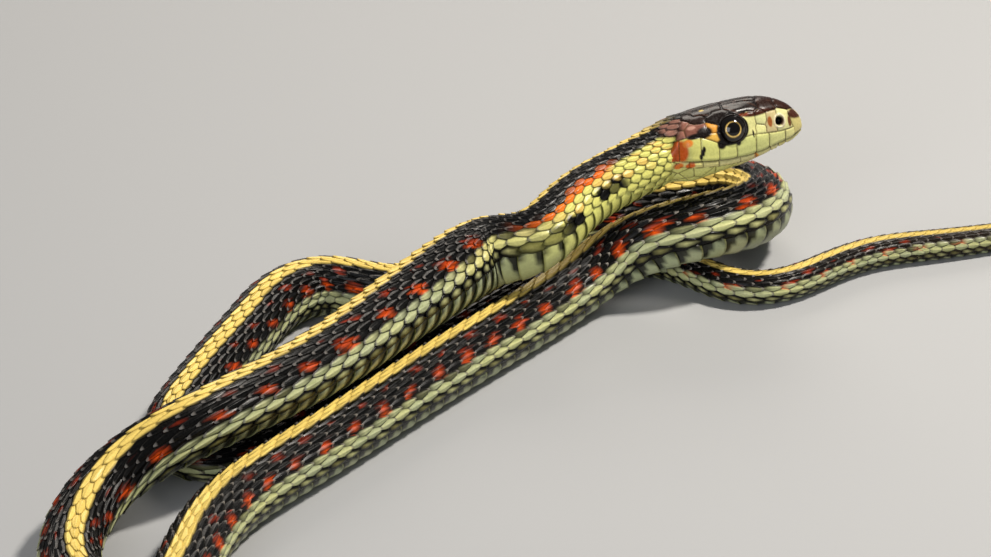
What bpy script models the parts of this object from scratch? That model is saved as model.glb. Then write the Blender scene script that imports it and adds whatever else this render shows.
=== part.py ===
"""A life-size garter snake at rest, its forebody laid over its own coils and its head raised.

The origin is on the floor, under the middle of the whole model. The snake looks towards +X.
Sizes are in millimetres until the meshes are made in metres.
"""
import math

import bmesh
import bpy
import numpy as np
from mathutils import Vector

MM = 0.001
GAP = 0.3  # between neighbouring pieces
FLOOR_SNAP = 0.6  # a belly this near to the floor lies on it

# The route of the body from the back of the head to the tip of the tail:
# x, y, height of its middle line, and its radius there
ROUTE = [
    (26.8, -3.6, 24.9, 5.1),
    (22.1, -6.8, 23.7, 4.9),
    (17.4, -9.8, 22.6, 5.0),
    (13.4, -13.0, 21.4, 5.2),
    (10.5, -16.3, 19.8, 5.3),
    (8.8, -18.9, 18.4, 5.4),
    (6.2, -21.5, 17.4, 5.4),
    (3.1, -21.6, 16.8, 5.7),
    (-0.1, -19.0, 16.0, 6.1),
    (-4.0, -21.5, 15.1, 6.3),
    (-9.8, -28.5, 14.3, 6.3),
    (-15.5, -36.7, 14.1, 6.0),
    (-23.1, -48.6, 14.1, 5.7),
    (-31.1, -58.8, 13.9, 5.4),
    (-38.7, -66.6, 13.7, 5.3),
    (-45.4, -72.8, 13.4, 5.2),
    (-51.5, -76.6, 12.0, 5.1),
    (-57.5, -79.2, 9.0, 5.0),
    (-63.5, -87.5, 6.0, 5.0),
    (-65.5, -97.0, 4.7, 5.0),
    (-63.8, -108.0, 4.7, 5.0),
    (-58.5, -116.0, 4.7, 5.0),
    (-51.5, -115.5, 4.8, 5.1),
    (-47.6, -107.0, 4.9, 5.2),
    (-46.0, -98.0, 5.0, 5.2),
    (-43.5, -89.5, 5.0, 5.2),
    (-40.0, -82.0, 5.0, 5.2),
    (-34.9, -75.2, 5.0, 5.2),
    (-26.3, -64.4, 5.0, 5.2),
    (-15.5, -50.0, 5.0, 5.2),
    (-7.5, -39.6, 5.0, 5.2),
    (0.5, -29.6, 5.0, 5.2),
    (8.0, -20.3, 5.0, 5.2),
    (13.5, -13.4, 5.6, 5.2),
    (18.5, -8.8, 7.6, 5.3),
    (24.0, -7.0, 10.4, 5.5),
    (29.5, -7.2, 12.2, 5.6),
    (35.0, -5.0, 12.7, 5.6),
    (41.0, -0.5, 11.6, 5.7),
    (45.2, 7.0, 9.9, 5.7),
    (45.2, 15.0, 7.7, 5.7),
    (40.6, 21.4, 6.3, 5.7),
    (33.5, 22.0, 5.6, 5.6),
    (25.0, 17.4, 5.2, 5.5),
    (14.5, 10.6, 5.2, 5.4),
    (4.0, 3.4, 5.0, 5.2),
    (-4.5, -5.4, 4.9, 5.1),
    (-9.6, -11.2, 4.9, 5.1),
    (-14.0, -15.0, 4.9, 5.1),
    (-18.6, -15.6, 4.9, 5.1),
    (-23.6, -12.6, 4.9, 5.1),
    (-29.4, -10.9, 4.9, 5.1),
    (-35.6, -16.0, 4.9, 5.1),
    (-40.5, -27.5, 4.8, 5.0),
    (-45.5, -40.0, 4.7, 4.9),
    (-49.8, -52.0, 4.6, 4.8),
    (-52.3, -60.5, 4.4, 4.6),
    (-50.0, -67.0, 4.2, 4.4),
    (-44.8, -68.8, 4.0, 4.2),
    (-40.0, -65.0, 3.8, 4.0),
    (-33.8, -57.6, 3.6, 3.8),
    (-23.2, -44.0, 3.5, 3.7),
    (-14.9, -33.2, 3.4, 3.6),
    (-7.0, -23.0, 3.3, 3.5),
    (0.8, -13.2, 3.3, 3.45),
    (7.3, -6.0, 3.2, 3.4),
    (14.5, -0.8, 3.2, 3.3),
    (22.5, 2.0, 3.1, 3.2),
    (30.0, 0.6, 3.0, 3.15),
    (35.5, -5.0, 3.0, 3.1),
    (42.0, -9.5, 2.9, 3.0),
    (50.0, -7.0, 2.8, 2.9),
    (57.0, -0.5, 2.7, 2.8),
    (65.0, 5.0, 2.6, 2.8),
    (75.0, 7.5, 2.5, 2.65),
    (85.0, 10.5, 2.3, 2.5),
    (97.0, 14.0, 2.1, 2.2),
    (111.0, 14.5, 1.7, 1.8),
    (124.0, 11.0, 1.35, 1.4),
    (136.0, 7.0, 1.0, 1.05),
    (146.0, 6.0, 0.7, 0.65),
]
ORIGIN = (37.97, -46.69)  # the middle of the whole model's box, in the route's x and y
STEP = 1.0  # between the samples of the smoothed route
SMOOTHING = 30  # rounds of averaging, which take the corners off the route

# Where the back leans, in degrees towards the animal's left: length along the route, lean
LEAN = [(0, 26), (10, 42), (32, 42), (48, 32), (75, 22), (100, 12), (118, -6), (135, -14),
        (160, -8), (190, -12), (290, -18), (312, -28), (335, -40), (355, -34), (372, -6), (385, 12),
        (405, 10), (440, 4), (760, 0)]

# The places where the body is parted, as lengths along the route
NECK_END = 33.0
VENT = 540.0
BODY_CUTS = [NECK_END, 66, 101, 132, 158, 184, 214, 250, 288, 316, 338, 360, 384,
             414, 442, 470, 496, 517, VENT]
TAIL_CUTS = [VENT, 576, 607, 635, 672, 704]

# The section of the body: the angles from the middle of the back to the belly, in degrees
FLANK_ANGLES = (0, 27, 54, 80, 103, 122, 140, 162)
SCUTE_FIRST = 5  # the first of those angles that lies on the belly scutes
SCUTE_RISE = 0.28  # how far the hind edge of a belly scute stands out, at full girth
SCUTE_STEP = 0.45  # length of the step at its hind edge
SCUTE_PITCH = 6.0  # from one scute to the next on a straight length of the body
SCUTE_TURN = 15  # degrees that a bend turns through at one scute, at most

# The head, measured back from the tip of the snout and up from its axis
HEAD_TIP = (51.2, 3.3, 28.3)
HEAD_LEAN = 20.0
#             back, half width, top, bottom
HEAD_STATIONS = [
    (0.15, 1.15, 1.0, -1.3),
    (0.8, 2.0, 2.2, -1.9),
    (2.2, 2.9, 3.8, -2.7),
    (4.0, 3.5, 4.9, -3.1),
    (5.6, 4.0, 5.6, -3.5),
    (7.4, 4.5, 6.05, -3.8),
    (9.2, 5.0, 6.25, -4.2),
    (11.6, 5.45, 6.35, -4.5),
    (14.0, 5.9, 6.4, -4.7),
    (16.4, 6.25, 6.35, -4.9),
    (18.8, 6.4, 6.2, -5.1),
    (21.0, 6.25, 5.95, -5.3),
]
HEAD_BACK = [
    (21.6, 6.15, 5.85, -5.35),
    (22.8, 5.85, 5.65, -5.35),
]
NAPE = (0.0, 5.05, 5.0, -5.0)  # the outline of the head where it meets the neck
MOUTH = [(0.0, -1.15), (2.6, -2.1), (5.4, -2.45), (8.1, -2.85), (10.9, -2.9), (14.5, -2.65),
         (16.9, -2.25), (21.8, -1.2)]
JAW_END = 20.9
THROAT_WALL = 0.08  # slope of the wall behind the corner of the mouth
SECTION_POWER = 2.35  # 2 is an ellipse, more is squarer
SIDE_POINTS = 9

# The plates of the head, which stand out from it between grooves across the head
PLATE_RISE = 0.16
SEAM_HALF = 0.3  # from the middle of a groove to the full height of the plates beside it
LIP_HEIGHT = 1.5  # of the plates along the upper lip
JAW_LIP_HEIGHT = 1.1
LIP_STEP = 0.14  # height of the step at the edge of a lip plate
LIP_SEAMS = (3.55, 6.7, 9.25, 12.8, 16.0, 19.2)
JAW_SEAMS = (3.4, 6.3, 9.1, 11.9, 15.8, 18.7)
CROWN_SEAMS = (4.2, 7.4, 13.2, 19.6)
CROWN_POINTS = 4  # points at the top of a side that lie on the crown's plates

EYE_BACK = 13.0
EYE_UP = 2.2
EYE_RADIUS = 2.7
EYE_SINK = 1.6  # how far the middle of the eye lies inside the side of the head
NOSTRIL_BACK = 4.4
NOSTRIL_UP = 1.45
NOSTRIL_RADIUS = 0.62
NOSTRIL_DEPTH = 0.9


def clear_scene():
    """Removes the objects that the file starts with."""
    for thing in list(bpy.data.objects):
        bpy.data.objects.remove(thing, do_unlink=True)


def material(name, colour, roughness):
    """A plain dielectric finish."""
    made = bpy.data.materials.new(name)
    made.use_nodes = True
    shader = made.node_tree.nodes["Principled BSDF"]
    shader.inputs["Base Color"].default_value = (*colour, 1.0)
    shader.inputs["Roughness"].default_value = roughness
    shader.inputs["Metallic"].default_value = 0.0
    return made


def smooth_route():
    """Points every STEP along a smooth curve near the route's points, as x, y, z, radius."""
    points = np.array(ROUTE)
    points[:, 0] -= ORIGIN[0]
    points[:, 1] -= ORIGIN[1]
    lengths = np.r_[0, np.cumsum(np.linalg.norm(np.diff(points[:, :3], axis=0), axis=1))]
    slopes = np.gradient(points, lengths, axis=0)
    fine = []
    for i in range(len(points) - 1):
        span = lengths[i + 1] - lengths[i]
        u = np.linspace(0, 1, 25)[:-1, None]
        fine.append((2 * u**3 - 3 * u**2 + 1) * points[i] + (u**3 - 2 * u**2 + u) * span * slopes[i]
                    + (3 * u**2 - 2 * u**3) * points[i + 1] + (u**3 - u**2) * span * slopes[i + 1])
    fine = np.vstack([*fine, points[-1:]])
    run = np.r_[0, np.cumsum(np.linalg.norm(np.diff(fine[:, :3], axis=0), axis=1))]
    places = np.linspace(0, run[-1], int(run[-1] / STEP) + 1)
    curve = np.column_stack([np.interp(places, run, fine[:, k]) for k in range(4)])
    for _ in range(SMOOTHING):
        curve[1:-1] += 0.5 * (0.5 * (curve[:-2] + curve[2:]) - curve[1:-1])
    return curve


CURVE = smooth_route()
ALONG = np.r_[0, np.cumsum(np.linalg.norm(np.diff(CURVE[:, :3], axis=0), axis=1))]
TANGENTS = np.gradient(CURVE[:, :3], ALONG, axis=0)
LENGTH = float(ALONG[-1])


def at(place, values):
    """The values of the route at a length along it."""
    return np.array([np.interp(place, ALONG, values[:, k]) for k in range(values.shape[1])])


def frame_at(place):
    """Middle, radius, tangent, the animal's left and its back direction at a length."""
    x, y, z, radius = at(place, CURVE)
    tangent = at(place, TANGENTS)
    tangent /= np.linalg.norm(tangent)
    left = -np.cross((0, 0, 1), tangent)
    left /= np.linalg.norm(left)
    upright = np.cross(tangent, left)
    upright *= math.copysign(1, upright[2])
    lean = math.radians(np.interp(place, *zip(*LEAN)))
    back = math.cos(lean) * upright + math.sin(lean) * left
    side = math.cos(lean) * left - math.sin(lean) * upright
    return np.array((x, y, z)), radius, tangent, side, back


def ring(place, rise):
    """One outline of the body, its belly angles standing out by rise."""
    middle, radius, _, side, back = frame_at(place)
    angles = [*FLANK_ANGLES, *(360 - a for a in reversed(FLANK_ANGLES[1:]))]
    points = []
    for angle in angles:
        belly = min(angle, 360 - angle) >= FLANK_ANGLES[SCUTE_FIRST]
        reach = radius - SCUTE_RISE * radius / 6 + (rise * radius / 6 if belly else 0)
        turn = math.radians(angle)
        point = middle + reach * (math.sin(turn) * side + math.cos(turn) * back)
        if point[2] < FLOOR_SNAP:
            point[2] = 0.0
        points.append(point)
    return points


def loft(name, rings, finish):
    """A closed body through rings of the same count, with its two ends filled."""
    work = bmesh.new()
    loops = [[work.verts.new(Vector(p) * MM) for p in points] for points in rings]
    count = len(loops[0])
    for before, after in zip(loops, loops[1:]):
        for i in range(count):
            j = (i + 1) % count
            work.faces.new((before[i], before[j], after[j], after[i]))
    for loop in (loops[0], loops[-1]):
        centre = work.verts.new(sum((v.co for v in loop), Vector()) / count)
        for i in range(count):
            work.faces.new((loop[i], loop[(i + 1) % count], centre))
    bmesh.ops.triangulate(work, faces=work.faces)
    bmesh.ops.recalc_face_normals(work, faces=work.faces)
    mesh = bpy.data.meshes.new(name)
    work.to_mesh(mesh)
    work.free()
    mesh.materials.append(finish)
    mesh.shade_smooth()
    piece = bpy.data.objects.new(name, mesh)
    bpy.context.scene.collection.objects.link(piece)
    return piece


def body_length(name, start, end, finish):
    """One length of the body with its belly scutes, between two cuts across it."""
    first, last = start + GAP / 2, end - GAP / 2
    radius = at((start + end) / 2, CURVE)[3]
    headings = [frame_at(place)[2] for place in np.arange(start, end, 2 * STEP)]
    turns = [math.degrees(math.acos(min(1, a @ b))) for a, b in zip(headings, headings[1:])]
    count = round((last - first) / (SCUTE_PITCH * radius / 5.5))
    count = max(1, count, math.ceil(sum(turns) / SCUTE_TURN))
    pitch = (last - first) / count
    rings = []
    for i in range(count):
        front = first + i * pitch
        rings.append(ring(front, 0.0))
        rings.append(ring(front + pitch - SCUTE_STEP * radius / 5.5, SCUTE_RISE))
    rings.append(ring(last, 0.0))
    return loft(name, rings, finish)


def head_frame():
    """Tip of the snout, the way back from it, the animal's left and up, in the head."""
    joint, _, _, _, _ = frame_at(0.0)
    tip = np.array(HEAD_TIP) - (*ORIGIN, 0)
    backward = (joint - tip) / np.linalg.norm(joint - tip)
    left = -np.cross((0, 0, 1), backward)
    left /= np.linalg.norm(left)
    upright = np.cross(backward, left)
    upright *= math.copysign(1, upright[2])
    lean = math.radians(HEAD_LEAN)
    up = math.cos(lean) * upright + math.sin(lean) * left
    side = math.cos(lean) * left - math.sin(lean) * upright
    return tip, backward, side, up


TIP, BACKWARD, LEFTWARD, UPWARD = head_frame()


def in_head(back, left, up):
    """A place in the head, from distances back from the snout, to the left and up."""
    return TIP + back * BACKWARD + left * LEFTWARD + up * UPWARD


def half_width(station, height):
    """Half the head's width at a height of one station."""
    _, width, top, bottom = station
    middle = (top + bottom) / 2
    reach = abs(height - middle) / ((top - bottom) / 2)
    return width * max(0.0, 1 - reach**SECTION_POWER) ** (1 / SECTION_POWER)


def plate_rise(back, seams):
    """How far the plates stand out at a distance back from the snout."""
    nearest = min(abs(back - seam) for seam in seams)
    return PLATE_RISE * min(1.0, nearest / SEAM_HALF)


def head_ring(station, low, high, plates=True):
    """The outline of one station of the head between two heights, with its plates."""
    back, width, top, bottom = station
    low, high = max(low, bottom), min(high, top)
    steps = np.linspace(0, math.pi / 2, SIDE_POINTS)
    if high >= top:
        lip = min(LIP_HEIGHT, 0.4 * (high - low))
        edge = low + lip
        side = [edge + (high - edge) * math.sin(s) for s in steps]
        heights = [low, edge - min(LIP_STEP, 0.4 * lip), *side]
        lip_points, seams = (0, 1), LIP_SEAMS
    else:
        lip = min(JAW_LIP_HEIGHT, 0.4 * (high - low))
        edge = high - lip
        side = [edge - (edge - low) * math.sin(s) for s in reversed(steps)]
        heights = [*side, edge + min(LIP_STEP, 0.4 * lip), high]
        lip_points, seams = (len(heights) - 2, len(heights) - 1), JAW_SEAMS
    left_side = [(half_width(station, h), h) for h in heights]
    if high < top:
        left_side[0] = (0.0, bottom)
    else:
        left_side[-1] = (0.0, top)
    if plates:
        rise = plate_rise(back, seams)
        for i in lip_points:
            y, h = left_side[i]
            left_side[i] = (y + rise, h)
        if high >= top:
            middle = (top + bottom) / 2
            grow = 1 + plate_rise(back, CROWN_SEAMS) / (top - middle)
            crown = [(y * grow, middle + (h - middle) * grow)
                     for y, h in left_side[-CROWN_POINTS:]]
            left_side[-CROWN_POINTS:] = crown
    outline = list(left_side)
    if high < top:
        outline += [(0.0, high)] + [(-y, h) for y, h in reversed(left_side[1:])]
    else:
        outline += [(-y, h) for y, h in reversed(left_side[:-1])] + [(0.0, low)]
    return [in_head(back, y, h) for y, h in outline]


def with_seams(places, seams, last):
    """The places with three more at each seam: its two sides and its middle."""
    extra = [seam + k * SEAM_HALF for seam in seams for k in (-1, 0, 1)]
    kept = [p for p in places if min(abs(p - e) for e in extra) > SEAM_HALF]
    return sorted(p for p in kept + extra if p < last)


def mouth_height(back):
    """Height of the line of the mouth."""
    return float(np.interp(back, *zip(*MOUTH)))


def blend_stations(stations, back):
    """A station between two of the list."""
    table = np.array(stations)
    return tuple(float(np.interp(back, table[:, 0], table[:, k])) for k in range(4))


def upper_head(finish):
    """The head above the line of the mouth, and all of it behind the corner of the mouth."""
    table = HEAD_STATIONS + HEAD_BACK
    seams = sorted(LIP_SEAMS + CROWN_SEAMS)
    places = with_seams([s[0] for s in HEAD_STATIONS], seams, JAW_END)
    front = []
    for back in (*places, JAW_END + GAP):
        station = blend_stations(table, back)
        front.append(head_ring(station, mouth_height(back) + GAP / 2, 99))
    throat = []
    for station in (blend_stations(table, JAW_END + GAP + THROAT_WALL), *HEAD_BACK):
        throat.append(head_ring(station, station[3] + 0.02, 99, plates=False))
    middle, _, tangent, side, back = frame_at(0.0)
    face = head_ring(NAPE, NAPE[3] + 0.02, 99, plates=False)
    flat = [(np.dot(p - TIP, LEFTWARD), np.dot(p - TIP, UPWARD)) for p in face]
    nape = [middle - GAP / 2 * tangent + y * side + h * back for y, h in flat]
    return loft("head", front + throat + [nape], finish)


def lower_jaw(finish):
    """The lower jaw, below the line of the mouth."""
    table = HEAD_STATIONS + HEAD_BACK
    places = with_seams([s[0] for s in HEAD_STATIONS[1:]], JAW_SEAMS, JAW_END - SEAM_HALF)
    rings = []
    for back in (*places, JAW_END):
        station = blend_stations(table, back)
        rings.append(head_ring(station, -99, mouth_height(back) - GAP / 2))
    return loft("lower_jaw", rings, finish)


def ball(name, centre, radius, finish):
    """A round eyeball."""
    work = bmesh.new()
    bmesh.ops.create_uvsphere(work, u_segments=18, v_segments=12, radius=radius * MM)
    bmesh.ops.translate(work, verts=work.verts, vec=Vector(centre) * MM)
    bmesh.ops.triangulate(work, faces=work.faces)
    mesh = bpy.data.meshes.new(name)
    work.to_mesh(mesh)
    work.free()
    mesh.materials.append(finish)
    mesh.shade_smooth()
    piece = bpy.data.objects.new(name, mesh)
    bpy.context.scene.collection.objects.link(piece)
    return piece


def as_cutter(piece):
    """Marks a piece as a cutter, which is no part of the model."""
    piece.hide_render = True
    piece.display_type = "WIRE"
    return piece


def cut(piece, cutters):
    """Cuts each cutter out of the piece and removes the cutter."""
    for cutter in cutters:
        as_cutter(cutter)
        step = piece.modifiers.new("cut", "BOOLEAN")
        step.operation = "DIFFERENCE"
        step.object = cutter
    bpy.context.view_layer.update()
    evaluated = piece.evaluated_get(bpy.context.evaluated_depsgraph_get())
    whole = bpy.data.meshes.new_from_object(evaluated)
    piece.modifiers.clear()
    piece.data = whole
    for cutter in cutters:
        bpy.data.objects.remove(cutter, do_unlink=True)


def eye_centre(hand):
    """The middle of an eye; hand is 1 for the animal's left and -1 for its right."""
    station = blend_stations(HEAD_STATIONS, EYE_BACK)
    return in_head(EYE_BACK, hand * (half_width(station, EYE_UP) - EYE_SINK), EYE_UP)


def nostril(hand, finish):
    """A short rod that cuts a nostril into the side of the snout."""
    station = blend_stations(HEAD_STATIONS, NOSTRIL_BACK)
    wide = half_width(station, NOSTRIL_UP)
    turns = np.linspace(0, 2 * math.pi, 9)[:-1]
    rings = []
    for reach in (wide - NOSTRIL_DEPTH, wide + NOSTRIL_DEPTH):
        rings.append([in_head(NOSTRIL_BACK + NOSTRIL_RADIUS * math.cos(t), hand * reach,
                              NOSTRIL_UP + NOSTRIL_RADIUS * math.sin(t)) for t in turns])
    return loft("nostril_cutter", rings, finish)


def build():
    """Makes every piece of the snake."""
    clear_scene()
    skin = material("scaled_skin", (0.03, 0.03, 0.035), 0.42)
    lips = material("pale_lips", (0.55, 0.60, 0.20), 0.45)
    eye = material("eye", (0.01, 0.008, 0.006), 0.1)
    head = upper_head(skin)
    sockets = [ball("socket_cutter", eye_centre(hand), EYE_RADIUS + GAP, skin) for hand in (1, -1)]
    cut(head, sockets + [nostril(hand, skin) for hand in (1, -1)])
    lower_jaw(lips)
    for hand, word in ((1, "left"), (-1, "right")):
        ball(f"eye_{word}", eye_centre(hand), EYE_RADIUS, eye)
    body_length("neck", 0.0, NECK_END, skin)
    for i, (start, end) in enumerate(zip(BODY_CUTS, BODY_CUTS[1:]), 1):
        body_length(f"body_{i:02d}", start, end, skin)
    tail_cuts = [*TAIL_CUTS, LENGTH]
    for i, (start, end) in enumerate(zip(tail_cuts, tail_cuts[1:]), 1):
        body_length(f"tail_{i:02d}", start, end, skin)


build()
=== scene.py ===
import math
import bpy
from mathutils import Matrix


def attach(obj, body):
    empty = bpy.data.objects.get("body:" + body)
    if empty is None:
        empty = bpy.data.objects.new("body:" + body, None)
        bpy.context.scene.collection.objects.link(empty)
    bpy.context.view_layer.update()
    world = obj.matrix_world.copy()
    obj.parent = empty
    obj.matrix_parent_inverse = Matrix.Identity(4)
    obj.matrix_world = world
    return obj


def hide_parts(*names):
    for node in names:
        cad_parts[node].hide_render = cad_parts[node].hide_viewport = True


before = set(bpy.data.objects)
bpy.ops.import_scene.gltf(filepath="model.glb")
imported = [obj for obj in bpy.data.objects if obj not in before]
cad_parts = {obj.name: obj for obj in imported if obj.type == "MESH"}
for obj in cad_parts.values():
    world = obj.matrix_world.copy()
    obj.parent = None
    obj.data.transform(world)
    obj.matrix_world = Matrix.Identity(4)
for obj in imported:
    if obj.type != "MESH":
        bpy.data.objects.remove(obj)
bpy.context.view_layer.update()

from types import SimpleNamespace

import bmesh
import bpy
import numpy as np
from mathutils import Vector

MM = 0.001

# The camera and the studio
# A long lens looks down on the snake at 28 degrees, as the photo does. The floor is plain and pale.
# A key panel hangs high at the right and a rim panel behind, where the photo's sun is, and a wide
# panel in front fills the shadows.
FRAME_WIDTH_PX = 991
FILM_MM = 36.0
CAMERA_TILT = math.radians(28.0)
CAMERA_AWAY_MM = 900.0
MM_PER_PIXEL = 0.17
LOOKED_AT_MM = (-37.97, 46.69, 0.0)  # on the floor, in the middle of the photo
SNAKE_MIDDLE_MM = (0, 0, 10)
FLOOR_MM = 6000


def linear(hex_colour):
    """An sRGB hex colour as linear red, green and blue."""
    parts = [int(hex_colour[i:i + 2], 16) / 255 for i in (1, 3, 5)]
    return tuple(p / 12.92 if p <= 0.04045 else ((p + 0.055) / 1.055) ** 2.4 for p in parts)


def node(tree, kind, links=(), **settings):
    """Adds a node; settings are its properties or inputs, links are (output, input name)."""
    made = tree.nodes.new(kind)
    for name, value in settings.items():
        if hasattr(made, name):
            setattr(made, name, value)
        else:
            made.inputs[name.replace("_", " ")].default_value = value
    for output, name in links:
        tree.links.new(output, made.inputs[name])
    return made


def new_material(name):
    """An empty material and its node tree, with a Principled shader wired to the output."""
    made = bpy.data.materials.new(name)
    made.use_nodes = True
    return made, made.node_tree, made.node_tree.nodes["Principled BSDF"]


def look_from(thing, place, target):
    """Puts a lamp or a camera at a place and turns it to a target, both in millimetres."""
    place, target = Vector(place) * MM, Vector(target) * MM
    thing.location = place
    thing.rotation_euler = (target - place).to_track_quat("-Z", "Y").to_euler()


camera_data = bpy.data.cameras.new("camera")
camera_data.sensor_width = FILM_MM
camera_data.lens = FILM_MM * CAMERA_AWAY_MM / MM_PER_PIXEL / FRAME_WIDTH_PX
camera_data.clip_start = 50 * MM
camera = bpy.data.objects.new("camera", camera_data)
bpy.context.scene.collection.objects.link(camera)
camera_place = (LOOKED_AT_MM[0],
                LOOKED_AT_MM[1] - CAMERA_AWAY_MM * math.cos(CAMERA_TILT),
                LOOKED_AT_MM[2] + CAMERA_AWAY_MM * math.sin(CAMERA_TILT))
look_from(camera, camera_place, LOOKED_AT_MM)
bpy.context.scene.camera = camera


def panel_light(name, place, size_mm, watts, tint):
    """A soft square light that faces the snake."""
    data = bpy.data.lights.new(name, "AREA")
    data.size = size_mm * MM
    data.energy = watts
    data.color = linear(tint)
    lamp = bpy.data.objects.new(name, data)
    bpy.context.scene.collection.objects.link(lamp)
    look_from(lamp, place, SNAKE_MIDDLE_MM)


panel_light("key_light", (260, 60, 520), 70, 5.2, "#fff8ee")
panel_light("rim_light", (-60, 480, 330), 260, 1.3, "#fff6ea")
panel_light("fill_light", (-300, -640, 300), 420, 3.0, "#f3f5fb")

world = bpy.data.worlds.new("studio")
world.use_nodes = True
world.node_tree.nodes["Background"].inputs["Color"].default_value = (*linear("#e9ecf0"), 1)
world.node_tree.nodes["Background"].inputs["Strength"].default_value = 0.2
bpy.context.scene.world = world
bpy.context.scene.view_settings.view_transform = "Standard"
bpy.context.scene.view_settings.look = "None"

for thing in bpy.context.selected_objects:
    thing.select_set(False)
bpy.ops.mesh.primitive_plane_add(size=FLOOR_MM * MM, location=(0, 0, 0))
floor = bpy.context.active_object
floor.name = "floor"
# painted board with no sheen, so it takes soft shadows and gives no glints
floor_finish, tree, shader = new_material("pale_matt_floor")
shader.inputs["Base Color"].default_value = (*linear("#9a9b9c"), 1)
shader.inputs["Roughness"].default_value = 0.85
floor.data.materials.append(floor_finish)

# The body's route
# A snake's body is one bendy tube. It runs from the back of the head down over its own coils,
# round the near bend, back under the neck, and out to the tip of the tail. The points are x, y,
# height and radius in millimetres.
ROUTE = [
    (26.8, -3.6, 24.9, 5.1), (22.1, -6.8, 23.7, 4.9), (17.4, -9.8, 22.6, 5.0),
    (13.4, -13.0, 21.4, 5.2), (10.5, -16.3, 19.8, 5.3), (8.8, -18.9, 18.4, 5.4),
    (6.2, -21.5, 17.4, 5.4), (3.1, -21.6, 16.8, 5.7), (-0.1, -19.0, 16.0, 6.1),
    (-4.0, -21.5, 15.1, 6.3), (-9.8, -28.5, 14.3, 6.3), (-15.5, -36.7, 14.1, 6.0),
    (-23.1, -48.6, 14.1, 5.7), (-31.1, -58.8, 13.9, 5.4), (-38.7, -66.6, 13.7, 5.3),
    (-45.4, -72.8, 13.4, 5.2), (-51.5, -76.6, 12.0, 5.1), (-57.5, -79.2, 9.0, 5.0),
    (-63.5, -87.5, 6.0, 5.0), (-65.5, -97.0, 4.7, 5.0), (-63.8, -108.0, 4.7, 5.0),
    (-58.5, -116.0, 4.7, 5.0), (-51.5, -115.5, 4.8, 5.1), (-47.6, -107.0, 4.9, 5.2),
    (-46.0, -98.0, 5.0, 5.2), (-43.5, -89.5, 5.0, 5.2), (-40.0, -82.0, 5.0, 5.2),
    (-34.9, -75.2, 5.0, 5.2), (-26.3, -64.4, 5.0, 5.2), (-15.5, -50.0, 5.0, 5.2),
    (-7.5, -39.6, 5.0, 5.2), (0.5, -29.6, 5.0, 5.2), (8.0, -20.3, 5.0, 5.2),
    (13.5, -13.4, 5.6, 5.2), (18.5, -8.8, 7.6, 5.3), (24.0, -7.0, 10.4, 5.5),
    (29.5, -7.2, 12.2, 5.6), (35.0, -5.0, 12.7, 5.6), (41.0, -0.5, 11.6, 5.7),
    (45.2, 7.0, 9.9, 5.7), (45.2, 15.0, 7.7, 5.7), (40.6, 21.4, 6.3, 5.7), (33.5, 22.0, 5.6, 5.6),
    (25.0, 17.4, 5.2, 5.5), (14.5, 10.6, 5.2, 5.4), (4.0, 3.4, 5.0, 5.2), (-4.5, -5.4, 4.9, 5.1),
    (-9.6, -11.2, 4.9, 5.1), (-14.0, -15.0, 4.9, 5.1), (-18.6, -15.6, 4.9, 5.1),
    (-23.6, -12.6, 4.9, 5.1), (-29.4, -10.9, 4.9, 5.1), (-35.6, -16.0, 4.9, 5.1),
    (-40.5, -27.5, 4.8, 5.0), (-45.5, -40.0, 4.7, 4.9), (-49.8, -52.0, 4.6, 4.8),
    (-52.3, -60.5, 4.4, 4.6), (-50.0, -67.0, 4.2, 4.4), (-44.8, -68.8, 4.0, 4.2),
    (-40.0, -65.0, 3.8, 4.0), (-33.8, -57.6, 3.6, 3.8), (-23.2, -44.0, 3.5, 3.7),
    (-14.9, -33.2, 3.4, 3.6), (-7.0, -23.0, 3.3, 3.5), (0.8, -13.2, 3.3, 3.45),
    (7.3, -6.0, 3.2, 3.4), (14.5, -0.8, 3.2, 3.3), (22.5, 2.0, 3.1, 3.2), (30.0, 0.6, 3.0, 3.15),
    (35.5, -5.0, 3.0, 3.1), (42.0, -9.5, 2.9, 3.0), (50.0, -7.0, 2.8, 2.9), (57.0, -0.5, 2.7, 2.8),
    (65.0, 5.0, 2.6, 2.8), (75.0, 7.5, 2.5, 2.65), (85.0, 10.5, 2.3, 2.5), (97.0, 14.0, 2.1, 2.2),
    (111.0, 14.5, 1.7, 1.8), (124.0, 11.0, 1.35, 1.4), (136.0, 7.0, 1.0, 1.05),
    (146.0, 6.0, 0.7, 0.65),
]
ORIGIN_MM = (37.97, -46.69)  # the middle of the model's box, in the route's x and y
LEAN = [  # places along the body, and the degrees by which its back leans to its left
    (0, 26), (10, 42), (32, 42), (48, 32), (75, 22), (100, 12), (118, -6), (135, -14), (160, -8),
    (190, -12), (290, -18), (312, -28), (335, -40), (355, -34), (372, -6), (385, 12), (405, 10),
    (440, 4), (760, 0),
]
STEPS_A_SPAN = 24
SAMPLE_MM = 1.0
SMOOTHING_ROUNDS = 30
SCUTE_RISE = 0.28 / 6  # the solids' scutes stand out by this share of the radius
FULL_RADIUS_MM = 5.5  # where the body is thinner, so are its scales and skin
FLOOR_GAP_MM = 0.02


def smooth_between(places, table):
    """Values on smooth curves between the rows of a table; its first column is the place."""
    table = np.asarray(table, float)
    knots, values = table[:, 0], table[:, 1:]
    slopes = np.gradient(values, knots, axis=0)
    places = np.clip(places, knots[0], knots[-1])
    i = np.clip(np.searchsorted(knots, places, side="right") - 1, 0, len(knots) - 2)
    span = (knots[i + 1] - knots[i])[..., None]
    u = (places - knots[i])[..., None] / span
    return ((2 * u**3 - 3 * u**2 + 1) * values[i] + (u**3 - 2 * u**2 + u) * span * slopes[i]
            + (3 * u**2 - 2 * u**3) * values[i + 1] + (u**3 - u**2) * span * slopes[i + 1])


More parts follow.
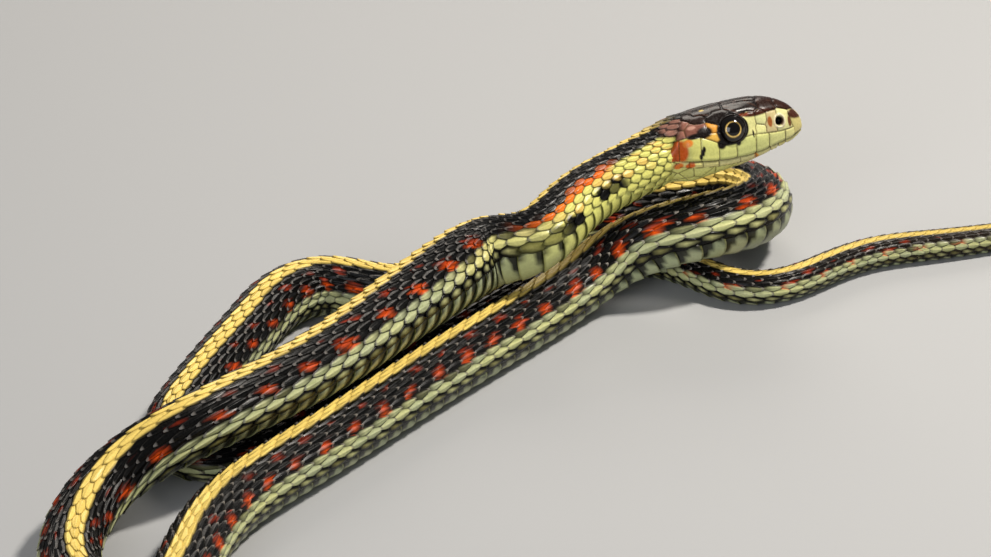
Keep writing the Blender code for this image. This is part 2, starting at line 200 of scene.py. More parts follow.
def lengths_along(points):
    """How far along a line each of its points lies."""
    return np.r_[0, np.cumsum(np.linalg.norm(np.diff(points[:, :3], axis=0), axis=1))]


def smooth_route():
    """Points every SAMPLE_MM along a smooth curve near the route's points."""
    points = np.array(ROUTE)
    points[:, :2] -= ORIGIN_MM
    lengths = lengths_along(points)
    numbers = np.arange(len(points))
    finer = np.arange(numbers[-1] * STEPS_A_SPAN + 1) / STEPS_A_SPAN
    fine = smooth_between(np.interp(finer, numbers, lengths), np.c_[lengths, points])
    run = lengths_along(fine)
    places = np.linspace(0, run[-1], int(run[-1] / SAMPLE_MM) + 1)
    curve = np.column_stack([np.interp(places, run, column) for column in fine.T])
    for _ in range(SMOOTHING_ROUNDS):
        curve[1:-1] += 0.5 * (0.5 * (curve[:-2] + curve[2:]) - curve[1:-1])
    return curve


curve = smooth_route()
along = lengths_along(curve)
LENGTH = float(along[-1])


def unit(vectors):
    """The vectors at length one."""
    return vectors / np.linalg.norm(vectors, axis=-1, keepdims=True)


tangents = unit(np.gradient(curve[:, :3], along, axis=0))
lefts = unit(-np.cross((0, 0, 1), tangents))
uprights = np.cross(tangents, lefts)
uprights *= np.sign(uprights[:, 2:])
leans = np.radians(np.interp(along, *zip(*LEAN)))[:, None]
backs = np.cos(leans) * uprights + np.sin(leans) * lefts
sides = np.cos(leans) * lefts - np.sin(leans) * uprights


def along_route(places, values):
    """Values of the route at lengths along it, going straight on past its two ends."""
    places = np.asarray(places, float)
    return np.stack([np.interp(places, along, column) for column in values.T], -1)


def on_body(places, angles, heights):
    """Points in millimetres at lengths along the body, angles from the back towards the
    animal's left, and heights over the skin's mean surface."""
    places, angles, heights = np.broadcast_arrays(places, angles, heights)
    middle = along_route(places, curve)
    tangent = along_route(places, tangents)
    past = places - np.clip(places, 0, LENGTH)
    radius = middle[..., 3] * (1 - SCUTE_RISE)
    reach = (radius + heights)[..., None]
    side, back = along_route(places, sides), along_route(places, backs)
    points = (middle[..., :3] + past[..., None] * tangent
              + reach * (np.sin(angles)[..., None] * side + np.cos(angles)[..., None] * back))
    points[..., 2] = np.maximum(points[..., 2], FLOOR_GAP_MM)
    return points


def radius_at(places):
    """Radius of the body at lengths along it, in millimetres."""
    return along_route(places, curve)[..., 3]


# The form of the head
# A snake's head is a blunt wedge of bone and muscle under tight skin, widest behind the eyes. Its
# outline is given at distances back from the snout, and it flows into the neck.
HEAD_TIP_MM = (51.2, 3.3, 28.3)  # in the route's own x and y
HEAD_LEAN = math.radians(20)
SECTION_POWER = 2.35  # 2 is an ellipse, more is squarer
HEAD_OUTLINE = [  # distance back, half width, top and bottom
    (0.0, 0.0, -0.1, -0.1), (0.15, 1.15, 1.05, -1.25), (0.8, 2.05, 2.25, -1.85),
    (2.2, 2.9, 3.8, -2.6), (4.0, 3.5, 4.95, -3.05), (5.6, 4.0, 5.6, -3.45),
    (7.4, 4.5, 6.05, -3.8), (9.2, 5.0, 6.25, -4.15), (11.6, 5.45, 6.35, -4.5),
    (14.0, 5.9, 6.4, -4.7), (16.4, 6.25, 6.35, -4.9), (18.8, 6.4, 6.2, -5.1),
    (21.0, 6.25, 5.95, -5.25), (22.8, 5.8, 5.6, -5.25), (25.5, 5.1, 5.1, -5.1),
]
MOUTH_LINE = [(0, -1.15), (2.6, -2.1), (5.4, -2.45), (8.1, -2.85), (10.9, -2.9), (14.5, -2.65),
              (16.9, -2.25), (21.8, -1.2), (23.5, -0.8), (26, -0.6)]
MOUTH_END = 22.9
HEAD_TO_NECK = (-5.0, 0.8)  # places between which the head's form turns into the body's
TIP_MM = 0.004  # the nearest to the snout's tip that a section is taken
head_tip = np.array(HEAD_TIP_MM) - (*ORIGIN_MM, 0)
HEAD_MM = float(np.linalg.norm(curve[0, :3] - head_tip))
backward = (curve[0, :3] - head_tip) / HEAD_MM
flat_left = unit(-np.cross((0, 0, 1), backward))
flat_up = np.cross(backward, flat_left)
flat_up *= math.copysign(1, flat_up[2])
upward = math.cos(HEAD_LEAN) * flat_up + math.sin(HEAD_LEAN) * flat_left
leftward = math.cos(HEAD_LEAN) * flat_left - math.sin(HEAD_LEAN) * flat_up
# spaced by the root of the distance, which keeps the blunt snout round
root_outline = [(math.sqrt(row[0]), *row[1:]) for row in HEAD_OUTLINE]


def step(values, low, high):
    """A smooth rise from 0 at low to 1 at high."""
    t = np.clip((np.asarray(values, float) - low) / (high - low), 0, 1)
    return t * t * (3 - 2 * t)


def between(places, stations):
    """Values on straight lines between pairs of place and value."""
    return np.interp(places, *zip(*stations))


def head_section(backs_mm):
    """Half width, half height and middle height of the head at distances from the snout."""
    wide, top, bottom = np.moveaxis(smooth_between(np.sqrt(np.maximum(backs_mm, 0)),
                                                   root_outline), -1, 0)
    return wide, (top - bottom) / 2, (top + bottom) / 2


def out_share(share):
    """How far out the head's rounded section still reaches, at a share of the way up it."""
    return (1 - np.abs(share) ** SECTION_POWER) ** (1 / SECTION_POWER)


def reach_of(sine, cosine, wide, tall):
    """How far the head's section reaches from its middle, in a direction round it."""
    return ((np.abs(sine) / wide) ** SECTION_POWER
            + (np.abs(cosine) / tall) ** SECTION_POWER) ** (-1 / SECTION_POWER)


def on_head(backs_mm, angles, heights):
    """Points as on_body gives them, but on the head, at distances back from the snout."""
    backs_mm, angles, heights = np.broadcast_arrays(backs_mm, angles, heights)
    wide, tall, middle = head_section(backs_mm)
    sine, cosine = np.sin(angles), np.cos(angles)
    reach = reach_of(sine, cosine, wide, tall)
    out, up = reach * sine, reach * cosine
    out_slope = np.sign(out) * np.abs(out / wide) ** (SECTION_POWER - 1) / wide
    up_slope = np.sign(up) * np.abs(up / tall) ** (SECTION_POWER - 1) / tall
    size = np.hypot(out_slope, up_slope)
    out = out + heights * out_slope / size
    up = middle + up + heights * up_slope / size
    return (head_tip + backs_mm[..., None] * backward + out[..., None] * leftward
            + up[..., None] * upward)


def on_skin(places, angles, heights):
    """Points on the whole snake: the head is at places below 0 and flows into the neck."""
    places, angles, heights = np.broadcast_arrays(places, angles, heights)
    share = step(places, *HEAD_TO_NECK)[..., None]
    points = on_body(places, angles, heights)
    if places.min() < HEAD_TO_NECK[1]:
        head = on_head(np.maximum(places + HEAD_MM, TIP_MM), angles, heights)
        points = head * (1 - share) + points * share
    return points


def nape_start(angles):
    """Where the laid scales begin behind the head's plates, by angle from the back."""
    return between(np.degrees(np.abs(angles)),
                   [(0, -5.9), (35, -5.2), (52, -4.4), (66, -3.4), (85, -2.2), (105, -1.5),
                    (180, -1.2)])


# The plates of the head
# Broad smooth plates of horn cover the head: nine on the crown, a row along each lip, and smaller ones
# round the nostril, in front of the eye, behind it and on the temple. The throat has small scales.
PLATES = [  # where its seeds are given, its colour, and its seeds: back and up, or back and out
    ("side", "#b3a86c", [(0.25, 0.3), (0.7, 0.9)]),  # at the tip of the snout
    ("side", "#c3bf86", [(2.3, 0.5), (2.5, -0.3), (2.9, 1.4), (3.3, 0.3)]),  # before the nostril
    ("side", "#b5a677", [(4.85, 0.9), (4.8, 0.0), (4.7, 1.7)]),  # behind the nostril
    ("side", "#c9c88c", [(6.3, 1.75)]),
    ("side", "#c5c283", [(6.7, 0.25)]),
    ("side", "#c7c383", [(8.35, 0.3), (8.3, 1.3), (8.6, 2.1)]),  # before the eye
    ("side", "#17110f", [(14.2, 3.6), (13.4, 4.1)]),  # three behind the eye
    ("side", "#c98a35", [(14.9, 2.05)]),
    ("side", "#cda048", [(15.0, 0.75), (14.2, -0.1)]),
    ("side", "#73493c", [(17.3, 2.4), (18.3, 2.6), (16.5, 2.1)]),  # the temple
    ("side", "#7f5446", [(19.9, 3.9)]),
    ("side", "#8d5f50", [(20.8, 2.35)]),
    ("side", "#96685a", [(22.3, 3.4)]),
    ("side", "#231713", [(17.2, 4.3), (18.6, 4.9)]),
    ("side", "#c6bc6a", [(23.6, 1.9)]),
    ("crown", "#2c160e", [(2.5, 0.8), (3.2, 1.5)]),  # over the snout
    ("crown", "#25140e", [(5.3, 0.8), (5.7, 2.2), (5.9, 3.0)]),
    ("crown", "#1c1411", [(8.7, 0.0), (8.7, 1.1), (10.3, 0.0), (10.3, 0.9), (12.1, 0.0),
                          (12.1, 0.6)]),  # between the eyes
    ("crown", "#17110f", [(9.3, 3.1), (10.6, 3.0), (12.2, 2.7), (11.3, 3.9)]),  # over each eye
    ("crown", "#1a1310", [(14.5, 0.9), (14.7, 2.4), (16.2, 1.2), (16.4, 3.0), (18.2, 1.0),
                          (18.1, 2.7)]),  # the two large hind ones
    ("throat", "#d2c98a", [(1.2, 0.0)]),  # the chin
    ("throat", "#d0cb88", [(4.2, 0.8), (6.0, 0.9), (7.2, 1.0)]),
    ("throat", "#d0cb88", [(9.6, 1.0), (11.5, 1.1), (13.0, 1.2)]),
]
MET_PLATES = (15, 16, 19, 21, 22)  # rows of PLATES whose left and right plates meet
MOTTLED_PLATES = (16, 17, 18, 19)
THROAT_STEP_MM, THROAT_STEP_DEGREES, THROAT_LINES = 1.3, 13.5, 9
UPPER_LIP_SEAMS = (2.9, 5.8, 8.15, 11.5, 14.55, 17.6, 21.1)
UPPER_LIP_TOP = [(0, 0.1), (1.2, -0.5), (2.9, -0.74), (5.8, -0.6), (8.1, -0.36), (10.5, -0.5),
                 (12.5, -0.85), (14.0, -0.55), (15.2, 0.15), (17.6, 1.3), (21.1, 1.45),
                 (23.9, 1.2)]
UPPER_LIP_COLOURS = ("#c4bf80", "#c1c07e", "#bfc07a", "#bec078", "#bebf74", "#bfbe70",
                     "#bebb6c", "#9c4417")
LOWER_LIP_SEAMS = (2.8, 4.1, 5.5, 8.2, 10.9, 14.6, 17.3, 19.6, 21.8)
LOWER_LIP_DEPTH = 1.05
LIPS_FROM, UPPER_LIP_END = 1.15, 23.9
MARKS = [  # patches on the sides of the head: back, up, half length, half height, colour
    (0.5, 1.7, 1.5, 1.0, "#3f2318"), (7.2, 3.1, 2.7, 0.6, "#3d1d12"),  # snout and brow
    (5.05, 1.15, 0.42, 1.0, "#8f5328"), (1.75, 0.55, 0.35, 1.0, "#5d3822"),
    (9.3, 3.2, 1.0, 0.3, "#70301a"),
    (20.5, -0.4, 1.25, 1.9, "#c4561f"), (19.3, 0.6, 0.9, 0.7, "#cf7a2c"),  # the orange cheek
    (22.3, 0.0, 1.5, 1.45, "#a4491a"),
    (16.85, -0.9, 0.3, 0.55, "#15100e"), (17.15, -1.4, 0.36, 0.65, "#15100e"),  # a black mark
    (17.55, -2.0, 0.32, 0.5, "#15100e"),
    # painted highlights: lighter spots in the middles of the temple's plates
    (18.3, 2.95, 0.8, 0.35, "#a67c6c"), (20.8, 2.75, 0.55, 0.35, "#b48a79"),  # on the temple
    (20.4, 3.9, 0.7, 0.3, "#a98071"),
    (13.75, -0.7, 0.85, 0.95, "#15100e"), (12.4, -0.75, 1.6, 0.5, "#15100e"),  # under the eye
    (10.9, -0.95, 0.4, 0.7, "#1d1612"), (8.15, -0.2, 0.16, 0.75, "#241a12"),
    (16.0, 5.4, 0.42, 0.16, "#c2ab58"),  # a pale fleck on the crown
    (16.3, 1.75, 1.5, 1.05, "#17110f"), (18.0, 1.45, 1.5, 0.5, "#17110f"),  # behind the eye
    (8.2, -3.75, 0.45, 0.35, "#cf8a3a"), (19.5, -3.0, 0.9, 0.5, "#cc5f24"),  # on the lower lip
    (21.4, -2.6, 1.0, 0.5, "#d0702a"), (23.6, -1.5, 1.0, 0.5, "#cf7c33"),
    (2.95, 0.75, 0.3, 0.9, "#5a3420"),
]
EYE_BACK, EYE_UP, EYE_RIM_MM = 13.0, 2.2, 2.55
NOSTRIL_BACK, NOSTRIL_UP, NOSTRIL_RIM_MM = 4.4, 1.45, 0.95
PLATE_RISE_MM, GROOVE_MM, MOUTH_MM = 0.05, 0.13, 0.42  # swell of a plate, and depths
EYE_POCKET_MM, NOSTRIL_MM = 1.1, 0.95
SWELLINGS = [  # rise of a soft form, and its back, up, half length and half height in the drawing
    (-0.34, 7.2, 0.9, 1.9, 1.1),  # the hollow before the eye
    (0.3, 11.2, 4.1, 2.6, 0.6),  # the brow
    (0.16, 7.0, 3.2, 2.0, 0.6),  # the ridge from the brow to the snout
    (0.22, 19.0, 0.2, 3.0, 2.2),  # the cheek
    (-0.12, 11.6, -1.3, 1.8, 0.5),  # the hollow under the eye
    (-0.05, 15.6, 3.4, 1.5, 1.0),  # the hollow behind the brow
]
SKIN_SINK_MM = 0.34  # the skin between the scales lies this much below their mean surface
NAPE_FADE_MM = 1.3
LIP_SWELLS = [(0.10, 0.55, 0.35), (0.06, -0.5, 0.3)]  # rise, height over the mouth, half height
LIP_SLANT = 0.12  # of the seams, against the upright
RING_CROWDING = 1.35  # over 1, the head's rings lie closer together towards the snout
HEAD_STATIONS, AROUND, AT_MOUTH = 250, 252, 91  # rings, points in one, and the mouth's point
DRAWN_BACK = (0.974, -0.164, 0.039, -0.3)  # shares of back, out and up in the drawing, and a shift
DRAWN_UP = (-0.019, -0.173, 0.971, 0.25)
throat_yellow = linear("#cdcb78")
lower_lip, lower_lip_dull = linear("#d8d092"), linear("#cfc57a")
crown_brown = linear("#43281b")
groove_dark, groove_pale = linear("#070505"), linear("#4b3a18")
# under_dark is the dark skin, and also the painted shade on the scales' covered roots
under_dark, under_pale = linear("#0b0909"), linear("#54501f")  # skin under the laid scales
mouth_crease_shade, eye_black = linear("#160d08"), linear("#0d0a0a")
nostril_rim, nostril_hole_shade = linear("#d8ceb0"), linear("#060404")


def scatter(seeds, salt):
    """A steady random number from 0 to 1 for each integer seed."""
    mixed = np.sin(np.asarray(seeds, float) * 12.9898 + salt * 78.233) * 43758.5453
    return mixed - np.floor(mixed)


def mix(first, second, share):
    """Colours between two, by a share from 0 to 1 for each point."""
    share = np.clip(np.asarray(share, float), 0, 1)[..., None]
    return np.asarray(first) * (1 - share) + np.asarray(second) * share


def out_at(back_mm, up_mm):
    """How far out the side of the head is at a height."""
    wide, tall, middle = head_section(np.asarray(back_mm, float))
    return wide * out_share(np.minimum(np.abs((up_mm - middle) / tall), 0.999))


def flat_view(back_mm, out_mm, up_mm):
    """Where a place on the side of the head lies in a flat drawing of that side."""
    return tuple(back * back_mm + out * out_mm + up * up_mm + shift
                 for back, out, up, shift in (DRAWN_BACK, DRAWN_UP))


def from_flat_view(drawn_back, drawn_up):
    """The place on the side of the head that the flat drawing shows there."""
    back_mm, up_mm = drawn_back, drawn_up
    # how far out the side is depends on the place, so a few rounds settle both
    for _ in range(12):
        out_mm = float(out_at(max(back_mm, 0.05), up_mm))
        back_mm += (drawn_back - flat_view(back_mm, out_mm, up_mm)[0]) / DRAWN_BACK[0]
        up_mm += (drawn_up - flat_view(back_mm, out_mm, up_mm)[1]) / DRAWN_UP[2]
    return back_mm, out_mm, up_mm


def plate_seeds():
    """The seeds of each plate in the head, and its colour."""
    seeds, tints = [], []
    for chart, tint, places in PLATES:
        points = []
        for back_mm, across_mm in places:
            if chart == "side":
                points.append(from_flat_view(back_mm, across_mm))
                continue
            wide, tall, middle = head_section(np.asarray(back_mm, float))
            rise = float(tall * out_share(across_mm / wide))
            up_mm = float(middle) + (rise if chart == "crown" else -rise)
            points.append((back_mm, across_mm, up_mm))
        seeds.append(points)
        tints.append(linear(tint))
    for column, back_mm in enumerate(np.arange(2.6, 27, THROAT_STEP_MM)):
        wide, tall, middle = (float(size) for size in head_section(np.asarray(float(back_mm))))
        # the chin's own plates take the place of the first lines
        chin_lines = 0 if back_mm >= 14.2 else 2 if back_mm > 7 else 3
        for line in range(chin_lines, THROAT_LINES):
            angle = math.radians(174 - THROAT_STEP_DEGREES * line)
            reach = wide  # where the lines come up the sides of the nape
            if angle > math.pi / 2:
                reach = float(reach_of(math.sin(angle), math.cos(angle), wide, tall))
            up_mm = middle + reach * math.cos(angle)
            on_lip = back_mm < 23 and up_mm > between(back_mm, MOUTH_LINE) - 1.5
            if (column + line) % 2 or on_lip:
                continue
            seeds.append([(back_mm, reach * math.sin(angle), up_mm)])
            shade = 0.9 + 0.2 * float(scatter(column * 13 + line, 7.0))
            tints.append(tuple(shade * c for c in throat_yellow))
    return seeds, np.array(tints)


def nearest_plates(points, plates):
    """The plate of each point, and how far the point is from that plate's edge."""
    seeds = np.array([s for plate in plates for s in plate])
    owner = np.repeat(np.arange(len(plates)), [len(plate) for plate in plates])
    squared = ((points[:, None] - seeds[None]) ** 2).sum(-1)
    mine = squared.argmin(1)
    least = squared[np.arange(len(points)), mine]
    edge = np.full(len(points), 9.0)
    for k, seed in enumerate(seeds):
        apart = np.maximum(np.linalg.norm(seeds[mine] - seed, axis=1), 1e-6)
        gap = (squared[:, k] - least) / (2 * apart)
        edge = np.where(owner[mine] != owner[k], np.minimum(edge, gap), edge)
    return owner[mine], edge


# the grid of the head: one line of it follows the mouth, and the last ring is the neck's
head_backs = HEAD_MM * (np.arange(1, HEAD_STATIONS + 1) / HEAD_STATIONS) ** RING_CROWDING
wide, tall, middle = head_section(head_backs)
mouth_up = np.interp(head_backs, *zip(*MOUTH_LINE))
drop = np.clip((mouth_up - middle) / tall, -0.96, 0.5)
mouth_out = wide * out_share(drop)
mouth_angle = np.arctan2(mouth_out, drop * tall)[:, None]
half_turn = np.arange(AROUND // 2 + 1)
upper = np.clip(half_turn / AT_MOUTH, 0, 1)
lower = np.clip((half_turn - AT_MOUTH) / (AROUND // 2 - AT_MOUTH), 0, 1)
head_angles = mouth_angle * upper + (math.pi - mouth_angle) * lower
even = step(head_backs, 20.5, 25.0)[:, None]
head_angles = head_angles * (1 - even) + math.pi * half_turn / (AROUND // 2) * even
head_angles = np.hstack([head_angles, 2 * math.pi - head_angles[:, -2:0:-1]])
head_base = on_skin((head_backs - HEAD_MM)[:, None], head_angles, 0.0)
along_head = np.gradient(head_base, axis=0)
round_head = np.roll(head_base, -1, 1) - np.roll(head_base, 1, 1)
head_normals = unit(np.cross(round_head, along_head))
outward = head_base - head_base.mean(1, keepdims=True)
head_normals *= np.sign((head_normals * outward).sum(-1).mean())

# where each point lies on the head, its plate, and the nearest groove
offsets = head_base - head_tip
back_at = offsets @ backward
out_of = np.abs(offsets @ leftward)
up_at = offsets @ upward
flank = step(out_of, 0.8, 1.6)  # 1 on the sides of the head, and 0 along its middle
plates, plate_tints = plate_seeds()
plate, edge = nearest_plates(np.stack([back_at, out_of, up_at], -1).reshape(-1, 3), plates)
plate, edge = plate.reshape(back_at.shape), edge.reshape(back_at.shape)
paired = np.isin(plate, MET_PLATES)
edge = np.where(paired, np.minimum(edge, out_of), edge)
head_colours = plate_tints[plate]
drawn_back, drawn_up = flat_view(back_at, out_of, up_at)
mouth_at = np.interp(back_at, *zip(*MOUTH_LINE))
lip_top = smooth_between(drawn_back, UPPER_LIP_TOP)[..., 0]
lip_bottom = mouth_at - LOWER_LIP_DEPTH
on_lips = (drawn_back > LIPS_FROM) & (drawn_back < UPPER_LIP_END)
in_upper = (up_at > mouth_at) & (drawn_up < lip_top) & on_lips
in_lower = (up_at <= mouth_at) & (up_at > lip_bottom) & (back_at < MOUTH_END)
above = (drawn_up >= lip_top) & on_lips
below = ~in_lower & (up_at <= lip_bottom) & (back_at < MOUTH_END)
slant = drawn_back + LIP_SLANT * (up_at - mouth_at)
upper_seam = np.abs(slant[..., None] - np.array((LIPS_FROM, *UPPER_LIP_SEAMS,
                                                 UPPER_LIP_END))).min(-1)
lower_seam = np.abs(slant[..., None] - np.array(LOWER_LIP_SEAMS)).min(-1)
edge = np.where(in_upper, np.minimum(upper_seam, lip_top - drawn_up), edge)
edge = np.where(in_lower, np.minimum(lower_seam, (up_at - lip_bottom) * 1.3), edge)
edge = np.where(above, np.minimum(edge, drawn_up - lip_top), edge)
edge = np.where(below, np.minimum(edge, (lip_bottom - up_at) * 2), edge)
edge = np.maximum(edge, 0)
upper_tints = np.array([linear(c) for c in UPPER_LIP_COLOURS])
head_colours = np.where(in_upper[..., None],
                        upper_tints[np.searchsorted(UPPER_LIP_SEAMS, slant)], head_colours)
lower_number = np.searchsorted(LOWER_LIP_SEAMS, slant)
lower_tint = mix(lower_lip, lower_lip_dull, scatter(lower_number, 8.0))
head_colours = np.where(in_lower[..., None], lower_tint, head_colours)


def drawn_gap(back_mm, up_mm, long_mm, tall_mm):
    """How far each point is from a place in the drawing: 1 at the edge of an oval round it."""
    return np.hypot((drawn_back - back_mm) / long_mm, (drawn_up - up_mm) / tall_mm)


for *oval, tint in MARKS:
    head_colours = mix(head_colours, linear(tint), (1 - step(drawn_gap(*oval), 0.7, 1.1)) * flank)

# the crown's plates are mottled, and redder towards the snout
crown_like = np.isin(plate, MOTTLED_PLATES) & ~in_upper
mottle = np.sin(back_at * 2.3 + 3 * np.sin(out_of * 1.7)) * np.sin(out_of * 3.1 + back_at * 0.9)
head_colours = mix(head_colours, crown_brown, crown_like * step(mottle, 0.35, 0.9) * 0.5)
dark = head_colours.max(-1) < 0.12
groove = 1 - step(edge, 0.035, 0.125)
head_colours = mix(head_colours, np.where(dark[..., None], groove_dark, groove_pale),
                   groove * 0.85)


def gap_from(back_mm, up_mm, back_share=1.0, up_share=1.0):
    """How far each point is from a place on the side of the head, in a circle or an oval."""
    return (np.hypot((back_at - back_mm) * back_share, (up_at - up_mm) * up_share)
            + 9 * (1 - flank))


def bell(apart, width):
    """1 where points are not apart, falling softly towards 0 past a width."""
    return np.exp(-(apart / width) ** 2)


# relief: grooves, the mouth, the soft swellings, and the rims of the eye and the nostril
eye_gap = gap_from(EYE_BACK, EYE_UP)
nostril_gap = gap_from(NOSTRIL_BACK, NOSTRIL_UP, 1.0, 0.9)
sized = step(back_at, 0.0, 3.0)
relief = PLATE_RISE_MM * step(edge, 0, 0.9) - GROOVE_MM * (1 - step(edge, 0.02, 0.24))
relief *= 0.35 + 0.65 * sized
mouth_fade = 1 - step(back_at, MOUTH_END - 1.2, MOUTH_END)
at_mouth = bell(up_at - mouth_at, 0.12) * mouth_fade
relief -= MOUTH_MM * at_mouth * (0.4 + 0.6 * sized)
for rise, up_mm, tall_mm in LIP_SWELLS:
    relief += rise * bell(up_at - mouth_at - up_mm, tall_mm) * mouth_fade * sized
for rise, *oval in SWELLINGS:
    relief += rise * bell(drawn_gap(*oval), 1.0) * flank
relief += 0.17 * bell(eye_gap - EYE_RIM_MM, 0.24)
relief = relief * step(eye_gap, 1.7, 2.5) - EYE_POCKET_MM * (1 - step(eye_gap, 1.75, 2.3))
relief += 0.15 * bell(nostril_gap - NOSTRIL_RIM_MM, 0.17)
relief = relief * step(nostril_gap, 0.5, 0.9) - NOSTRIL_MM * (1 - step(nostril_gap, 0.42, 0.78))
folded = np.minimum(head_angles, 2 * math.pi - head_angles)
laid = step(back_at - HEAD_MM - nape_start(folded), 0.0, NAPE_FADE_MM)
relief = relief * (1 - laid) - SKIN_SINK_MM * laid
head_points = head_base + relief[..., None] * head_normals

# the last colours: skin under the laid scales, painted shade in the mouth's crease, the black eye, the
# nostril's rim and painted shade in its hole
head_colours = mix(head_colours, mix(under_dark, under_pale, step(folded, 1.15, 1.4)), laid)
# painted shade in the mouth's crease
head_colours = mix(head_colours, mouth_crease_shade, at_mouth * 0.95)
eye_oval = gap_from(EYE_BACK, EYE_UP, 1 / 1.16, 1 / 0.97)
head_colours = mix(head_colours, eye_black, 1 - step(eye_oval, 2.4, 2.6))
head_colours = mix(head_colours, nostril_rim, bell(nostril_gap - NOSTRIL_RIM_MM, 0.16) * 0.75)
# painted shade inside the nostril's hole
head_colours = mix(head_colours, nostril_hole_shade, 1 - step(nostril_gap, 0.62, 0.78))

# The skin
# One skin covers the whole animal with no seam. On the head its plates show; along the body it is
# thin and elastic, dark between the black scales, and the scales and scutes are rooted in it.
SKIN_SIDES = 36
SKIN_STEP_MM = 1.6
SPOT_COUNT = [(0, -3.5), (34, 0), (125, 9.6), (760, 98)]  # spots passed at places along the body
SPOT_LINES = [(65, 13, 0.19), (36, 8, 0.15)]  # angle, half height in degrees, and half length
SPOTS_FROM = (34, 44)
GRAINS_PER_MM = 2.6  # real striae are finer, and are drawn as coarse as the render can show
red = linear("#d8520f")
red_dark = linear("#86280f")


def tone_by_points(tree, shader, noise, low, high):
    """The base colour is that of the mesh's points, darker and lighter with a fine noise."""
    colour = node(tree, "ShaderNodeAttribute", attribute_name="skin_colour")
    shade = node(tree, "ShaderNodeMapRange", [(noise, "Value")],
                 From_Min=0.3, From_Max=0.7, To_Min=low, To_Max=high)
    toned = node(tree, "ShaderNodeVectorMath", [(colour.outputs["Color"], 0),
                                                (shade.outputs["Result"], "Scale")],
                 operation="SCALE")
    tree.links.new(toned.outputs["Vector"], shader.inputs["Base Color"])


def scale_finish(name, roughness, speckle, bump_mm, shine):
    """Keratin: the colour comes from the points, broken up by fine grime and striae."""
    made, tree, shader = new_material(name)
    place = node(tree, "ShaderNodeTexCoord").outputs["Object"]
    grain = node(tree, "ShaderNodeTexNoise", [(place, "Vector")],
                 Scale=GRAINS_PER_MM / MM, Detail=3.0).outputs["Fac"]
    tone_by_points(tree, shader, grain, 1 - speckle, 1 + speckle)
    gloss = node(tree, "ShaderNodeMapRange", [(grain, "Value")],
                 From_Min=0.3, From_Max=0.7, To_Min=roughness - 0.07, To_Max=roughness + 0.1)
    tree.links.new(gloss.outputs["Result"], shader.inputs["Roughness"])
    bump = node(tree, "ShaderNodeBump", [(grain, "Height")], Strength=0.35, Distance=bump_mm * MM)
    tree.links.new(bump.outputs["Normal"], shader.inputs["Normal"])
    shader.inputs["Specular IOR Level"].default_value = shine
    return made


def make_piece(name, points, faces, colours, finish, flat=None, patches=None):
    """A piece from arrays, because skin, scales and scutes are laid along the route by rule. Each
    point has its own linear colour, and the faces that flat picks out aren't smoothed."""
    mesh = bpy.data.meshes.new(name)
    sizes = np.array([len(f) for f in faces])
    corners = np.concatenate([np.asarray(f) for f in faces])
    mesh.vertices.add(len(points))
    mesh.vertices.foreach_set("co", (np.asarray(points) * MM).ravel().astype(np.float32))
    mesh.loops.add(len(corners))
    mesh.loops.foreach_set("vertex_index", corners.astype(np.int32))
    mesh.polygons.add(len(sizes))
    starts = np.r_[0, np.cumsum(sizes)[:-1]]
    mesh.polygons.foreach_set("loop_start", starts.astype(np.int32))
    mesh.update(calc_edges=True)
    smooth = np.ones(len(sizes), bool) if flat is None else ~flat
    mesh.polygons.foreach_set("use_smooth", smooth)
    tint = mesh.color_attributes.new("skin_colour", "FLOAT_COLOR", "POINT")
    tint.data.foreach_set("color", np.c_[colours, np.ones(len(colours))].ravel())
    if patches is not None:
        uv_map = mesh.uv_layers.new(name="OFBake")
        uv_map.data.foreach_set("uv", patches[corners].ravel().astype(np.float32))
    mesh.validate()
    mesh.materials.append(finish)
    piece = bpy.data.objects.new(name, mesh)
    bpy.context.scene.collection.objects.link(piece)
    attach(piece, "root")
    return piece


def face_outwards(piece):
    """Turns the faces of a closed mesh to point outwards."""
    work = bmesh.new()
    work.from_mesh(piece.data)
    bmesh.ops.recalc_face_normals(work, faces=work.faces)
    work.to_mesh(piece.data)
    work.free()


def red_spots(place, angle):
    """How red the flank is: a line of ragged streaks and a fainter one over it, 0 to 1."""
    degrees = np.degrees(np.abs(angle))
    share = np.zeros(np.broadcast(place, angle).shape)
    counted = between(place, SPOT_COUNT)
    for line, (middle_angle, tall_angle, long_share) in enumerate(SPOT_LINES):
        slanted = counted + 0.007 * (degrees - middle_angle)
        number = np.floor(slanted + 0.5 * line)
        chance = scatter(number * 3 + line + np.where(angle > 0, 500, 0), 9.0)
        off_centre = slanted + 0.5 * line - number - 0.5 - 0.25 * (chance - 0.5)
        size = 0.75 + 0.45 * chance if line == 0 else 1.15 * chance
        wobble = 0.3 * np.sin(place * 2.9 + degrees * 0.55)
        spread = np.hypot(off_centre / long_share, (degrees - middle_angle) / tall_angle)
        share = np.maximum(share, 1 - step(spread / np.maximum(size, 0.05) + wobble, 0.6, 1.0))
    return share * step(place, *SPOTS_FROM)


# thin skin is dull between the scales, and the head's plates are smooth horn with a soft sheen
skin_finish = scale_finish("elastic_skin", 0.55, 0.15, 0.02, 0.15)
head_finish = scale_finish("smooth_head_plate_keratin", 0.27, 0.06, 0.004, 0.2)
skin_places = np.linspace(1.0, LENGTH - 0.2, int(LENGTH / SKIN_STEP_MM))
turns = np.linspace(0, 2 * math.pi, SKIN_SIDES, endpoint=False)
sink = np.maximum(SKIN_SINK_MM * radius_at(skin_places) / FULL_RADIUS_MM, 0.05)
tube = on_body(skin_places[:, None], turns, -sink[:, None])
signed = np.where(turns > math.pi, turns - 2 * math.pi, turns)
tube_colours = mix(under_dark, under_pale,
                   step(np.abs(signed), 1.2, 1.5)[None] * (1 - step(skin_places, 26, 34))[:, None])
tube_colours = mix(tube_colours, red_dark, red_spots(skin_places[:, None], signed[None]))
snout = head_points[0].mean(0) - 0.06 * backward
